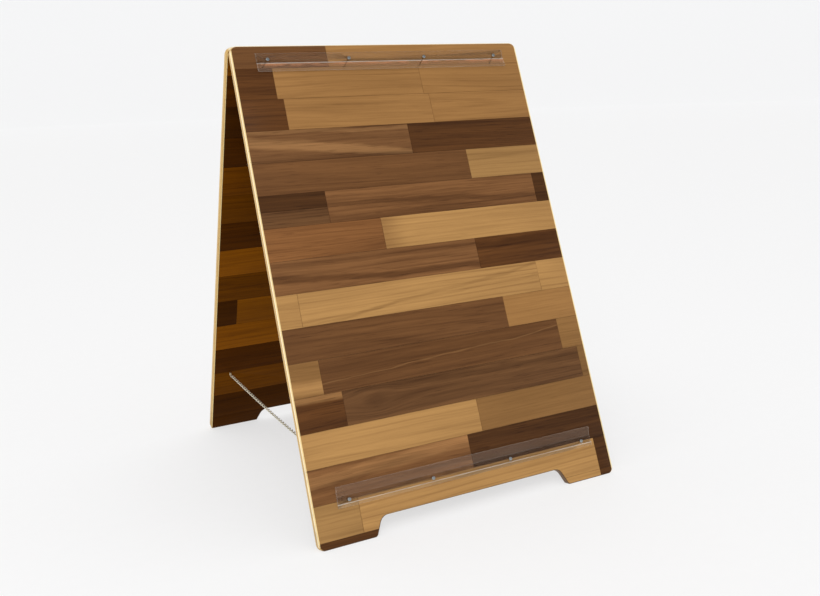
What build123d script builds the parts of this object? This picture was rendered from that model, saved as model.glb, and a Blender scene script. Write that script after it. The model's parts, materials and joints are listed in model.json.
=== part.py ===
"""Folding A-frame sandwich board: two plywood boards faced with wooden staves, hinged at the top.

Each board is modelled upright and closed, with its outer face towards -Y and the hinge axis on
the X axis, and is then swung open about that axis and lifted so that its feet stand on Z = 0.
Millimetres, +Z up, X along the hinge axis, the front board towards -Y.
"""
from build123d import *
import math
import os

# ---- boards ------------------------------------------------------------------------------
BOARD_W = 610.0          # width across the board
BOARD_H = 890.0          # height along the outer face
BOARD_T = 12.0           # core and both facings together
FACING_T = 1.2           # thickness of one stave facing
ARRIS = 1.6              # how far a facing stops short of the core's edge
TOP_CORNER_R = 14.0
FOOT_CORNER_R = 13.0
FOOT_W = 106.0           # width of a foot at the floor
CUTOUT_INSET = 121.0     # side of the board to the top corner of the foot cut-out
CUTOUT_H = 32.0          # height of the foot cut-out
CUTOUT_R = 17.0          # hollow corner of the cut-out
FOOT_TOE_R = 8.0         # inner lower corner of a foot

# ---- stance ------------------------------------------------------------------------------
LEAN = 21.25             # degrees from upright, each board, with the chains taut
CLOSED_GAP = 3.0         # between the inner faces if the boards were parallel
PIVOT_RISE = 1.5         # hinge axis above the boards' top edges

# ---- staves ------------------------------------------------------------------------------
OUTER_ROWS = (44.2, 59.5)    # heights of the part row at the top and of a full row, outer face
INNER_ROWS = (51.4, 61.8)    # the same on an inner face
GLUE_LINE = 0.2          # between neighbouring staves

# ---- poster rails ------------------------------------------------------------------------
RAIL_L = 527.0
RAIL_SHIFT = 4.0         # the rails and their screws sit this far right of centre
RAIL_EDGE = 16.0         # board's top edge to the top rail's upper edge
LOWER_RAIL_EDGE = 60.5   # floor end of the board to the lower rail's lower edge
RAIL_BASE = 19.0         # flat screwed strip
RAIL_BASE_T = 1.6
RAIL_LIP = 17.0          # lip beyond the fold
RAIL_LIP_OUT = 3.6       # lip's free edge stands off the board
RAIL_BEAD = 6.0          # thickened outer edge
RAIL_BEAD_T = 3.2
RAIL_TIP_T = 1.4         # lip's thickness at its free edge
RAIL_ROUND = 0.6         # eased corners of the bead
RAIL_SCREW_AT = 11.7     # outer edge to the screw line
RAIL_SCREW_PITCH = 161.2
RAIL_SCREWS = 4

# ---- rail screws -------------------------------------------------------------------------
PAN_HEAD_R = 3.3
PAN_HEAD_H = 2.0
PAN_HEAD_ROUND = 1.2
PAN_SHANK_R = 1.5
PAN_LENGTH = 9.0
SCREW_TIP_R = 0.2
RECESS_W = 0.7           # arms of a screw's cross recess
RECESS_DEPTH = 0.8
CLEARANCE_HOLE_R = 1.75
PILOT_PLAY = 0.05        # radial, between a screw thread's body and the wood

# ---- hinges ------------------------------------------------------------------------------
HINGE_L = 60.0
HINGE_X = 205.0          # each hinge's middle, left and right of centre
LEAF_T = 1.2
LEAF_W = 22.0            # hinge axis to the leaf's free edge
BARREL_R = 2.5
PIN_R = 1.25
PIN_FIT = 0.05           # radial running clearance of the pin
KNUCKLES = 5
KNUCKLE_GAP = 0.3
PIN_CAP_R = 1.9
PIN_CAP_H = 0.8
LEAF_CORNER_R = 3.0
KNUCKLE_ROOT = 1.0       # how far a knuckle's web runs into the barrel
HINGE_SCREW_PITCH = 20.0
HINGE_SCREW_Z = 12.5     # hinge axis to the screw line
CSK_HEAD_R = 2.4
CSK_SHANK_R = 1.2
CSK_LENGTH = 10.0

# ---- limit chains ------------------------------------------------------------------------
CHAIN_INSET = 37.0       # side of the board to the chain
CHAIN_DOWN = 735.0       # board's top edge to the chain's eyes
EYE_R = 4.5              # centre line of the screw eye's ring
EYE_WIRE = 2.2
EYE_OFF = 7.0            # ring's centre off the inner face
EYE_SHANK_L = 9.0        # length of the eye's shank in the wood
LINK_WIRE = 1.8
LINK_INNER_W = 3.2
LINK_PLAY = 0.3          # between the wires of two links
LINKS = 43
CHAIN_SAG = 4.0

BOARD_TOP = -PIVOT_RISE
BOARD_FOOT = BOARD_TOP - BOARD_H
INNER_Y = -CLOSED_GAP / 2
OUTER_Y = INNER_Y - BOARD_T
LEAN_RAD = math.radians(LEAN)
HINGE_Z = -(BOARD_FOOT * math.cos(LEAN_RAD) - OUTER_Y * math.sin(LEAN_RAD))

# Staves of each face, row by row from the top: where each stave ends, from the left as the face
# is looked at, and its timber. A pair of timbers is two half-height staves, one above the other.
END = BOARD_W
FRONT_OUTER = [
    [(185, "umber"), (END, "tan")],
    [(73, "walnut"), (373, "tan"), (END, "tan")],
    [(84, "walnut"), (384, "tan"), (END, "tan")],
    [(323, "russet"), (END, "walnut")],
    [(439, "umber"), (END, "honey")],
    [(129, ("walnut", "russet")), (578, "russet"), (END, "walnut")],
    [(228, "umber"), (END, "honey")],
    [(416, "russet"), (END, "walnut")],
    [(42, "honey"), (541, "honey"), (END, "honey")],
    [(449, "umber"), (END, "tan")],
    [(58, "tan"), (558, "umber"), (END, "tan")],
    [(90, "walnut"), (591, "russet"), (END, "tan")],
    [(346, "honey"), (END, "tan")],
    [(313, "russet"), (END, "walnut")],
    [(83, "honey"), (580, "honey"), (END, "walnut")],
    [(305, "walnut"), (580, "honey"), (END, "walnut")],
]
BACK_OUTER = [
    [(262, "tan"), (END, "umber")],
    [(148, "honey"), (520, "russet"), (END, "walnut")],
    [(402, "tan"), (END, "honey")],
    [(96, "walnut"), (418, "umber"), (END, "tan")],
    [(334, "honey"), (END, "russet")],
    [(176, ("umber", "walnut")), (540, "tan"), (END, "walnut")],
    [(468, "russet"), (END, "honey")],
    [(64, "tan"), (386, "walnut"), (END, "umber")],
    [(512, "honey"), (END, "tan")],
    [(210, "walnut"), (END, "russet")],
    [(118, "honey"), (450, "umber"), (END, "tan")],
    [(365, "tan"), (END, "walnut")],
    [(52, "russet"), (486, "honey"), (END, "umber")],
    [(281, "umber"), (END, "honey")],
    [(160, "tan"), (552, "russet"), (END, "tan")],
    [(305, "umber"), (END, "walnut")],
]
FRONT_INNER = [
    [(340, "russet"), (END, "walnut")],
    [(120, "walnut"), (505, "honey"), (END, "russet")],
    [(410, "russet"), (END, "honey")],
    [(250, "honey"), (END, "walnut")],
    [(70, "russet"), (455, "walnut"), (END, "russet")],
    [(380, "honey"), (END, "russet")],
    [(190, "walnut"), (560, "russet"), (END, "honey")],
    [(300, "russet"), (END, "walnut")],
    [(480, "walnut"), (END, "honey")],
    [(145, "honey"), (520, "russet"), (END, "walnut")],
    [(360, "walnut"), (END, "russet")],
    [(225, "russet"), (END, "honey")],
    [(90, "honey"), (430, "walnut"), (END, "russet")],
    [(320, "russet"), (END, "walnut")],
    [(END, "walnut")],
]
BACK_INNER = [
    [(260, "russet"), (END, "walnut")],
    [(180, "walnut"), (470, "russet"), (END, "honey")],
    [(240, "walnut"), (END, "russet")],
    [(150, "walnut"), (END, "honey")],
    [(210, "russet"), (545, "honey"), (END, "walnut")],
    [(295, "russet"), (END, "honey")],
    [(390, "walnut"), (END, "russet")],
    [(205, "honey"), (END, "walnut")],
    [(330, "russet"), (END, "honey")],
    [(46, "walnut"), (420, "honey"), (END, "russet")],
    [(310, "honey"), (END, "walnut")],
    [(350, "walnut"), (END, "russet")],
    [(230, "russet"), (560, "honey"), (END, "walnut")],
    [(400, "walnut"), (END, "russet")],
    [(305, "walnut"), (END, "russet")],
]


# ---- placing -----------------------------------------------------------------------------
def stand(shape, side):
    """Swing a piece of a closed board open and set it on its feet."""
    if side == "front":
        return Pos(0, 0, HINGE_Z) * Rot(-LEAN, 0, 0) * shape
    return Pos(0, 0, HINGE_Z) * Rot(LEAN, 0, 0) * Rot(0, 0, 180) * shape


def stand_mirrored(shape, side):
    """Stand a piece that belongs to one end of the hinge: the back board keeps its X."""
    if side == "front":
        return stand(shape, "front")
    return Pos(0, 0, HINGE_Z) * Rot(LEAN, 0, 0) * mirror(shape, about=Plane.XZ)


def along_y(shape, x, y, z):
    """Put a piece made along +Z at a point of a board, pointing to the board's inside."""
    return Pos(x, y, z) * Rot(-90, 0, 0) * shape


# ---- boards ------------------------------------------------------------------------------
def board_outline(inset):
    """Outline of a board seen from its outer face, drawn in to leave an eased edge."""
    half = BOARD_W / 2
    points = [
        (-half, BOARD_FOOT),
        (-half, BOARD_TOP),
        (half, BOARD_TOP),
        (half, BOARD_FOOT),
        (half - FOOT_W, BOARD_FOOT),
        (half - CUTOUT_INSET, BOARD_FOOT + CUTOUT_H),
        (-half + CUTOUT_INSET, BOARD_FOOT + CUTOUT_H),
        (-half + FOOT_W, BOARD_FOOT),
    ]
    radii = [FOOT_CORNER_R, TOP_CORNER_R, TOP_CORNER_R, FOOT_CORNER_R]
    radii += [FOOT_TOE_R, CUTOUT_R, CUTOUT_R, FOOT_TOE_R]
    outline = make_face(FilletPolyline(*points, radius=radii, close=True))
    if inset > 0:
        outline = offset(outline, amount=-inset, kind=Kind.ARC)
    return outline


def slab(sketch, outer_y, thickness):
    """Thicken a sketch of the board's face into the board, from the given depth."""
    return extrude(Plane.XZ * sketch, amount=-thickness).moved(Location((0, outer_y, 0)))


def floor_cutter(above):
    """Everything below the floor, or below a plane a little above it, in the closed board."""
    size = 2 * BOARD_H
    below = Pos(0, 0, -size / 2 + above) * Box(size, size, size)
    return Rot(LEAN, 0, 0) * Pos(0, 0, -HINGE_Z) * below


def rail_screw_points():
    """Screw places of both rails, as X and Z on the closed board."""
    first = RAIL_SHIFT - RAIL_SCREW_PITCH * (RAIL_SCREWS - 1) / 2
    upper = BOARD_TOP - RAIL_EDGE - RAIL_SCREW_AT
    lower = BOARD_FOOT + LOWER_RAIL_EDGE + RAIL_SCREW_AT
    across = [first + RAIL_SCREW_PITCH * i for i in range(RAIL_SCREWS)]
    return [(x, upper) for x in across], [(x, lower) for x in across]


def hinge_screw_points():
    """Screw places of both hinge leaves on one board."""
    steps = (-HINGE_SCREW_PITCH, 0, HINGE_SCREW_PITCH)
    return [(x + step, -HINGE_SCREW_Z) for x in (-HINGE_X, HINGE_X) for step in steps]


def eye_points():
    """Screw eye places on one board."""
    x = BOARD_W / 2 - CHAIN_INSET
    return [(-x, BOARD_TOP - CHAIN_DOWN), (x, BOARD_TOP - CHAIN_DOWN)]


def pilot(radius, depth):
    """Screw hole from Z = 0 up, a little larger than the screw."""
    bottom = (Align.CENTER, Align.CENTER, Align.MIN)
    return Cylinder(radius + PILOT_PLAY, depth + PILOT_PLAY, align=bottom)


def pilot_holes():
    """Every screw's hole in a closed board."""
    upper, lower = rail_screw_points()
    rail_bore = pilot(PAN_SHANK_R, PAN_LENGTH - RAIL_BASE_T)
    hinge_bore = Rot(180, 0, 0) * pilot(CSK_SHANK_R, CSK_LENGTH - LEAF_T)
    eye_bore = Rot(180, 0, 0) * pilot(EYE_WIRE / 2, EYE_SHANK_L)
    holes = [along_y(rail_bore, x, OUTER_Y, z) for x, z in upper + lower]
    holes += [along_y(hinge_bore, x, INNER_Y, z) for x, z in hinge_screw_points()]
    holes += [along_y(eye_bore, x, INNER_Y, z) for x, z in eye_points()]
    return holes


def core():
    """Plywood core with its feet cut flat to the floor."""
    board = slab(board_outline(0), OUTER_Y + FACING_T, BOARD_T - 2 * FACING_T)
    return board - floor_cutter(0) - pilot_holes()


def stave_boxes(rows, row_heights, inside):
    """Centre, size and timber of each stave of a face, in the closed board's X and Z."""
    boxes = []
    top = BOARD_TOP
    for index, row in enumerate(rows):
        height = row_heights[min(index, 1)]
        left = 0
        for right, timber in row:
            stack = timber if isinstance(timber, tuple) else (timber,)
            step = height / len(stack)
            middle = (left + right) / 2 - BOARD_W / 2
            for level, name in enumerate(stack):
                centre = (-middle if inside else middle, top - step * (level + 0.5))
                boxes.append((centre, (right - left, step), name))
            left = right
        top -= height
    return boxes


def facing(rows, row_heights, inside):
    """Stave solids of one face, grouped by timber."""
    outline = board_outline(ARRIS)
    outer_y = INNER_Y - FACING_T if inside else OUTER_Y
    floor = floor_cutter(ARRIS)
    holes = pilot_holes()
    timbers = {}
    for (x, z), (width, height), timber in stave_boxes(rows, row_heights, inside):
        patch = outline & Pos(x, z) * Rectangle(width - GLUE_LINE, height - GLUE_LINE)
        stave = slab(patch, outer_y, FACING_T)
        cutters = [hole for hole in holes if touches(hole, stave)]
        if z - height / 2 < BOARD_FOOT + CUTOUT_H:
            cutters.append(floor)
        if cutters:
            stave = stave - cutters
        timbers.setdefault(timber, []).extend(stave.solids())
    return timbers


def touches(hole, stave):
    """Whether the boxes around a hole and a stave meet."""
    a, b = hole.bounding_box(), stave.bounding_box()
    lows = zip(a.min, a.max, b.min, b.max)
    return all(low_a < high_b and low_b < high_a for low_a, high_a, low_b, high_b in lows)


# ---- poster rails ------------------------------------------------------------------------
def rail_section():
    """Rail's section: X is the distance from its outer edge, Y the distance off the board."""
    slope = math.atan2(RAIL_LIP_OUT, RAIL_LIP)
    tip = (RAIL_BASE + RAIL_LIP, RAIL_LIP_OUT)
    points = [
        (0, 0),
        (RAIL_BASE, 0),
        tip,
        (tip[0] - RAIL_TIP_T * math.sin(slope), tip[1] + RAIL_TIP_T * math.cos(slope)),
        (RAIL_BASE - RAIL_BASE_T * math.tan(slope / 2), RAIL_BASE_T),
        (RAIL_BEAD + RAIL_ROUND, RAIL_BASE_T),
        (RAIL_BEAD, RAIL_BEAD_T),
        (RAIL_ROUND, RAIL_BEAD_T),
        (0, RAIL_BEAD_T - RAIL_ROUND),
    ]
    return make_face(Polyline(*points, close=True))


def rail(lower):
    """Clear rail, screwed flat through its base, whose lip opens towards the board's middle."""
    bar = extrude(rail_section(), amount=RAIL_L)
    bore = Rot(90, 0, 0) * Cylinder(CLEARANCE_HOLE_R, 4 * RAIL_BASE_T)
    first = RAIL_L / 2 - RAIL_SCREW_PITCH * (RAIL_SCREWS - 1) / 2
    along = [first + RAIL_SCREW_PITCH * i for i in range(RAIL_SCREWS)]
    bar = bar - [Pos(RAIL_SCREW_AT, 0, at) * bore for at in along]
    start = RAIL_SHIFT - RAIL_L / 2
    if lower:
        edge = BOARD_FOOT + LOWER_RAIL_EDGE
        placed = Plane(origin=(start, OUTER_Y, edge), x_dir=(0, 0, 1), z_dir=(1, 0, 0))
    else:
        edge = BOARD_TOP - RAIL_EDGE
        placed = Plane(origin=(start + RAIL_L, OUTER_Y, edge), x_dir=(0, 0, -1), z_dir=(-1, 0, 0))
    return placed.location * bar


# ---- screws ------------------------------------------------------------------------------
def pan_screw():
    """Pan-head wood screw along +Z, seat of the head at Z = 0, with a cross recess."""
    head = Pos(0, 0, -PAN_HEAD_H / 2) * Cylinder(PAN_HEAD_R, PAN_HEAD_H)
    head = fillet(head.edges().group_by(Axis.Z)[0], PAN_HEAD_ROUND)
    return head + screw_shank(PAN_SHANK_R, 0, PAN_LENGTH) - cross_recess(PAN_HEAD_R, -PAN_HEAD_H)


def screw_shank(radius, start, end):
    """Shank and point of a wood screw along +Z."""
    tip = radius * 2
    length = end - start - tip
    shank = Pos(0, 0, start + length / 2) * Cylinder(radius, length)
    return shank + Pos(0, 0, end - tip / 2) * Cone(radius, SCREW_TIP_R, tip)


def cross_recess(length, face):
    """Cross recess sunk into a head's face."""
    arm = Pos(0, 0, face) * Box(length, RECESS_W, 2 * RECESS_DEPTH)
    return [arm, Rot(0, 0, 90) * arm]


def countersunk_screw():
    """Countersunk wood screw along +Z, flush face of the head at Z = 0, with a cross recess."""
    head = Pos(0, 0, LEAF_T / 2) * Cone(CSK_HEAD_R, CSK_SHANK_R, LEAF_T)
    return head + screw_shank(CSK_SHANK_R, LEAF_T, CSK_LENGTH) - cross_recess(CSK_HEAD_R, 0)


# ---- hinges ------------------------------------------------------------------------------
def knuckle_span(index):
    """Start and end of a knuckle along a hinge centred on X = 0."""
    length = HINGE_L / KNUCKLES
    start = -HINGE_L / 2 + length * index
    return start + KNUCKLE_GAP / 2, start + length - KNUCKLE_GAP / 2


def hinge_leaf(own_knuckles):
    """Leaf of a butt hinge on a front board, with its share of the barrel about the X axis."""
    face_y = INNER_Y + LEAF_T / 2
    plate_top = -(BARREL_R + KNUCKLE_GAP)
    leaf = Pos(0, face_y, (plate_top - LEAF_W) / 2) * Box(HINGE_L, LEAF_T, LEAF_W + plate_top)
    leaf = fillet(leaf.edges().filter_by(Axis.Y).group_by(Axis.Z)[0], LEAF_CORNER_R)
    for index in own_knuckles:
        start, end = knuckle_span(index)
        middle, length = (start + end) / 2, end - start
        leaf += Pos(middle, 0, 0) * Rot(0, 90, 0) * Cylinder(BARREL_R, length)
        leaf += Pos(middle, face_y, plate_top / 2) * Box(length, LEAF_T, KNUCKLE_ROOT - plate_top)
    leaf -= Rot(0, 90, 0) * Cylinder(PIN_R + PIN_FIT, 2 * HINGE_L)
    for step in (-HINGE_SCREW_PITCH, 0, HINGE_SCREW_PITCH):
        sink = Cone(CSK_SHANK_R + PILOT_PLAY, CSK_HEAD_R + PILOT_PLAY, LEAF_T)
        leaf -= Pos(step, face_y, -HINGE_SCREW_Z) * Rot(-90, 0, 0) * sink
    return leaf


def hinge_pin():
    """Pin with a small peened head at each end."""
    pin = Rot(0, 90, 0) * Cylinder(PIN_R, HINGE_L)
    for end in (-1, 1):
        cap = Pos(end * (HINGE_L + PIN_CAP_H) / 2, 0, 0) * Rot(0, 90, 0) * Cylinder(PIN_CAP_R, PIN_CAP_H)
        pin += cap
    return pin


# ---- limit chains ------------------------------------------------------------------------
def screw_eye():
    """Screw eye along +Z into the wood, its ring standing off at negative Z, hole along X."""
    ring = Rot(0, 90, 0) * Torus(EYE_R, EYE_WIRE / 2)
    neck = EYE_OFF - EYE_R
    length = neck + EYE_SHANK_L
    shank = Pos(0, 0, EYE_R + length / 2) * Cylinder(EYE_WIRE / 2, length)
    return Pos(0, 0, -EYE_OFF) * (ring + shank)


def eye_centre(side):
    """Y and Z of a screw eye's ring centre on the standing board."""
    y, z = INNER_Y + EYE_OFF, BOARD_TOP - CHAIN_DOWN
    turn = -LEAN_RAD
    out = y * math.cos(turn) - z * math.sin(turn)
    up = y * math.sin(turn) + z * math.cos(turn)
    return (out if side == "front" else -out), up + HINGE_Z


def chain_link(inner_length):
    """Oval link along Y, flat in the XY plane."""
    radius = (LINK_INNER_W + LINK_WIRE) / 2
    straight = inner_length - LINK_INNER_W
    path = SlotCenterToCenter(straight, 2 * radius, rotation=90).face().outer_wire()
    start = path @ 0
    section = Plane(origin=start, z_dir=path % 0) * Circle(LINK_WIRE / 2)
    return sweep(section, path=path)


def chain_runs(x):
    """Front run and back run of one limit chain, link by link, hanging almost taut."""
    front_y, level = eye_centre("front")
    span = -2 * front_y
    first = EYE_R - (LINK_WIRE + EYE_WIRE) / 2 - LINK_PLAY
    pitch = (span - 2 * first - LINK_WIRE - LINK_PLAY) / LINKS
    inner_length = pitch + LINK_PLAY
    link = chain_link(inner_length)
    runs = {"front": [], "back": []}
    for i in range(LINKS):
        y = front_y + first + (LINK_WIRE + inner_length) / 2 + pitch * i
        drop = CHAIN_SAG * (1 - (y / front_y) ** 2)
        tilt = math.degrees(math.atan(2 * CHAIN_SAG * y / front_y ** 2))
        turned = link if i % 2 == 0 else Rot(0, 90, 0) * link
        placed = Pos(x, y, level - drop) * Rot(tilt, 0, 0) * turned
        runs["front" if i <= LINKS // 2 else "back"].append(placed.solid())
    return runs, pitch


# ---- the whole sandwich board --------------------------------------------------------------
def board_nodes(side, outer_rows, inner_rows):
    """Every node that one board carries, apart from the chains."""
    nodes = {side + "_core": core()}
    for timber, staves in facing(outer_rows, OUTER_ROWS, False).items():
        nodes[f"{side}_outer_{timber}_staves"] = Compound(children=staves)
    for timber, staves in facing(inner_rows, INNER_ROWS, True).items():
        nodes[f"{side}_inner_{timber}_staves"] = Compound(children=staves)
    upper, lower = rail_screw_points()
    seat = OUTER_Y - RAIL_BASE_T
    nodes[side + "_top_poster_rail"] = rail(False)
    nodes[side + "_bottom_poster_rail"] = rail(True)
    nodes[side + "_top_rail_screws"] = group(along_y(pan_screw(), x, seat, z) for x, z in upper)
    nodes[side + "_bottom_rail_screws"] = group(along_y(pan_screw(), x, seat, z) for x, z in lower)
    inward = Rot(180, 0, 0)
    hinge_face = INNER_Y + LEAF_T
    screws = (along_y(inward * countersunk_screw(), x, hinge_face, z) for x, z in hinge_screw_points())
    nodes[side + "_hinge_screws"] = group(screws)
    eyes = (along_y(inward * screw_eye(), x, INNER_Y, z) for x, z in eye_points())
    nodes[side + "_chain_eyes"] = group(eyes)
    return {name: stand(shape, side) for name, shape in nodes.items()}


def group(shapes):
    """Separate solids in one node."""
    return Compound(children=[shape.solid() for shape in shapes])


def hinge_nodes():
    """Both hinges: a leaf on each board and the pin between them."""
    shares = {"front": (0, 2, 4), "back": (1, 3)}
    nodes = {}
    for name, x in (("left", -HINGE_X), ("right", HINGE_X)):
        for side, knuckles in shares.items():
            leaf = Pos(x, 0, 0) * hinge_leaf(knuckles)
            nodes[f"{name}_hinge_{side}_leaf"] = stand_mirrored(leaf, side)
        nodes[f"{name}_hinge_pin"] = stand(Pos(x, 0, 0) * hinge_pin(), "front")
    return nodes


def chain_nodes():
    """Both limit chains, each in the run that each board carries."""
    nodes = {}
    side_x = BOARD_W / 2 - CHAIN_INSET
    for name, x in (("left", -side_x), ("right", side_x)):
        runs, pitch = chain_runs(x)
        for side, links in runs.items():
            nodes[f"{name}_chain_{side}_run"] = Compound(children=links)
    print("chain link pitch", round(pitch, 3))
    return nodes


def main():
    nodes = {}
    nodes.update(board_nodes("front", FRONT_OUTER, FRONT_INNER))
    nodes.update(board_nodes("back", BACK_OUTER, BACK_INNER))
    nodes.update(hinge_nodes())
    nodes.update(chain_nodes())
    os.makedirs("parts", exist_ok=True)
    for name, shape in nodes.items():
        export_step(shape, f"parts/{name}.step")
    y, z = eye_centre("front")
    print(len(nodes), "nodes, hinge axis at Z", round(HINGE_Z, 3))
    print("front screw eyes at Y", round(y, 3), "Z", round(z, 3))


main()
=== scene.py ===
"""Looks of the folding sandwich board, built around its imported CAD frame."""

import json
import math
import random

import bmesh
import bpy
from mathutils import Matrix, Vector


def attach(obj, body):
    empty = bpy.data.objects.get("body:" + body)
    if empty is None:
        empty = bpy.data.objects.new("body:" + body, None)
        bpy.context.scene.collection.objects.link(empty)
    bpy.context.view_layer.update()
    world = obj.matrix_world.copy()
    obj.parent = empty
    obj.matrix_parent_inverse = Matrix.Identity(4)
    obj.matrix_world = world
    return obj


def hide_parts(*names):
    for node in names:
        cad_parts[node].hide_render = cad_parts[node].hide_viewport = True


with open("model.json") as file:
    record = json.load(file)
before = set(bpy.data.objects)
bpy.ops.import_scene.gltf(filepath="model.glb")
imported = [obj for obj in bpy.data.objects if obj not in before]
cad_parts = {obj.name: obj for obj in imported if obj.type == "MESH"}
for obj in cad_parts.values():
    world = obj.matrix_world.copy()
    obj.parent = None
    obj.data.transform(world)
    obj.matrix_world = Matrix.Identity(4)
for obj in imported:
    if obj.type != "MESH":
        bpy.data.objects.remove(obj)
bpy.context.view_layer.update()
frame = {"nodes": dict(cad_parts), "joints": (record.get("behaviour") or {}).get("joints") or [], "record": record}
NODES = frame["nodes"]
MOUNTS = {mount["name"]: mount for mount in frame["record"]["mounts"]}
JOINTS = {joint["name"]: joint for joint in frame["joints"]}

BOARD_W = 0.610
PIVOT_RISE = 0.0015          # hinge axis above the boards' top edges
HINGE_Z = JOINTS["fold"]["pos_m"][2]
FACE_AXIS = MOUNTS["front_poster_face"]["axis"]
LEAN = math.atan2(FACE_AXIS[2], -FACE_AXIS[1])
SIDES = ("front", "back")
SEED = 7                     # of everything drawn at random

# ---- how each timber looks: sRGB colour, strength of fibre, streaks, growth rings and pores ----
TIMBERS = {
    "walnut": ((90, 55, 25), 1.1, 1.1, 0.35, 0.6),
    "umber": ((105, 70, 40), 0.8, 0.55, 0.35, 0.5),
    "russet": ((110, 75, 45), 0.9, 1.0, 0.5, 0.5),
    "tan": ((150, 110, 65), 0.5, 0.32, 0.28, 0.2),
    "honey": ((170, 130, 80), 0.45, 0.35, 0.35, 0.15),
}
# The same for the boards' inner faces, whose colours are darker and warmer: painted shade between the boards.
SHADED_INSIDE_TIMBERS = {
    "walnut": ((60, 30, 0), 0.8, 0.8, 0.3, 0.5),
    "russet": ((90, 50, 0), 0.8, 0.7, 0.35, 0.4),
    "honey": ((120, 70, 5), 0.6, 0.5, 0.4, 0.3),
}
# On a face with looks of its own, a stave is its timber's colour or one of its shades.
SHADES = {"deep": 0.82, "dim": 0.91, "plain": 1.0, "light": 1.1, "pale": 1.25}

# What a stave has where it has no band, knot or darker end.
NO_BAND = (2.0, 2.0, 0.1, 0.0)
NO_KNOT = (0.5, 60.0, 0.001)
NO_END = (0.0, 0.1, 0.0)

# What is particular to single staves, by row from the top and place in the row: a shade, growth
# rings, one or two bands, a knot and a darker end. A band is (height at the left end, height at
# the right end, half width, strength): heights run from -1 at the stave's lower edge to 1 at its
# upper edge, a strength above 0 is pale sapwood and below 0 dark heartwood. A knot is (place
# along the stave, height, radius in metres) and an end is (place along the stave, reach, strength).
FRONT_OUTER_LOOKS = {
    (4, 1): {"bands": [(0.35, -0.95, 0.4, 0.4), (0.95, 0.7, 0.16, 0.3)]},
    (4, 2): {"shade": "dim"},
    (5, 2): {"shade": "dim"},
    (6, 1): {"shade": "deep"},
    (6, 2): {"shade": "dim"},
    (6, 3): {"shade": "light", "bands": [(0.2, -0.55, 0.22, -0.55), (-0.75, -0.95, 0.3, -0.4)]},
    (6, 4): {"shade": "deep"},
    (7, 1): {"shade": "pale"},
    (7, 2): {"end": (0.0, 0.14, -0.45)},
    (8, 1): {"shade": "light", "bands": [(-0.15, -0.75, 0.28, -0.7), (0.8, 0.9, 0.3, -0.2)]},
    (8, 2): {"bands": [(0.5, 0.45, 0.45, -0.6), NO_BAND]},
    (9, 2): {"rings": 0.35, "bands": [(-1.2, 0.9, 0.12, -0.25), (-0.9, 0.2, 0.1, -0.2)]},
    (11, 1): {"shade": "dim", "bands": [(-0.4, -0.5, 0.5, 0.5), NO_BAND]},
    (11, 2): {"bands": [(-0.45, 0.5, 0.05, 0.28), (0.5, -0.4, 0.3, -0.15)]},
    (11, 3): {"shade": "dim"},
    (12, 1): {"bands": [(1.0, 0.9, 0.4, 0.8), (-0.7, -0.8, 0.4, -0.4)]},
    (12, 2): {"shade": "dim", "knot": (0.12, 0.15, 0.013),
              "bands": [(0.9, 0.35, 0.3, -0.4), (-0.5, -0.6, 0.4, -0.2)]},
    (12, 3): {"shade": "deep"},
    (13, 2): {"shade": "dim"},
    (14, 1): {"shade": "light", "bands": [(0.25, 0.75, 0.45, 0.4), (-0.8, -0.3, 0.3, -0.3)]},
    (14, 2): {"shade": "deep"},
    (15, 1): {"shade": "dim"},
    (15, 3): {"shade": "deep"},
    (16, 1): {"shade": "dim"},
    (16, 3): {"shade": "deep"},
}
# On the back board's inner face, (1, 1) and (2, 1) are pale and (4, 1) light as painted light against the shade
# near the hinge.
BACK_INNER_LOOKS = {
    (1, 1): {"shade": "pale"},
    (2, 1): {"shade": "pale"},
    (4, 1): {"shade": "light"},
    (5, 1): {"shade": "light"},
    (7, 1): {"shade": "light"},
    (9, 1): {"knot": (0.3, -0.2, 0.004)},
    (10, 2): {"shade": "dim"},
    (12, 1): {"shade": "light"},
}
LOOKS = {("front", "outer"): FRONT_OUTER_LOOKS, ("back", "inner"): BACK_INNER_LOOKS}

# Heights of the part row at the top and of a full row on each face.
ROW_HEIGHTS = {"outer": (0.0442, 0.0595), "inner": (0.0514, 0.0618)}


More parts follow.
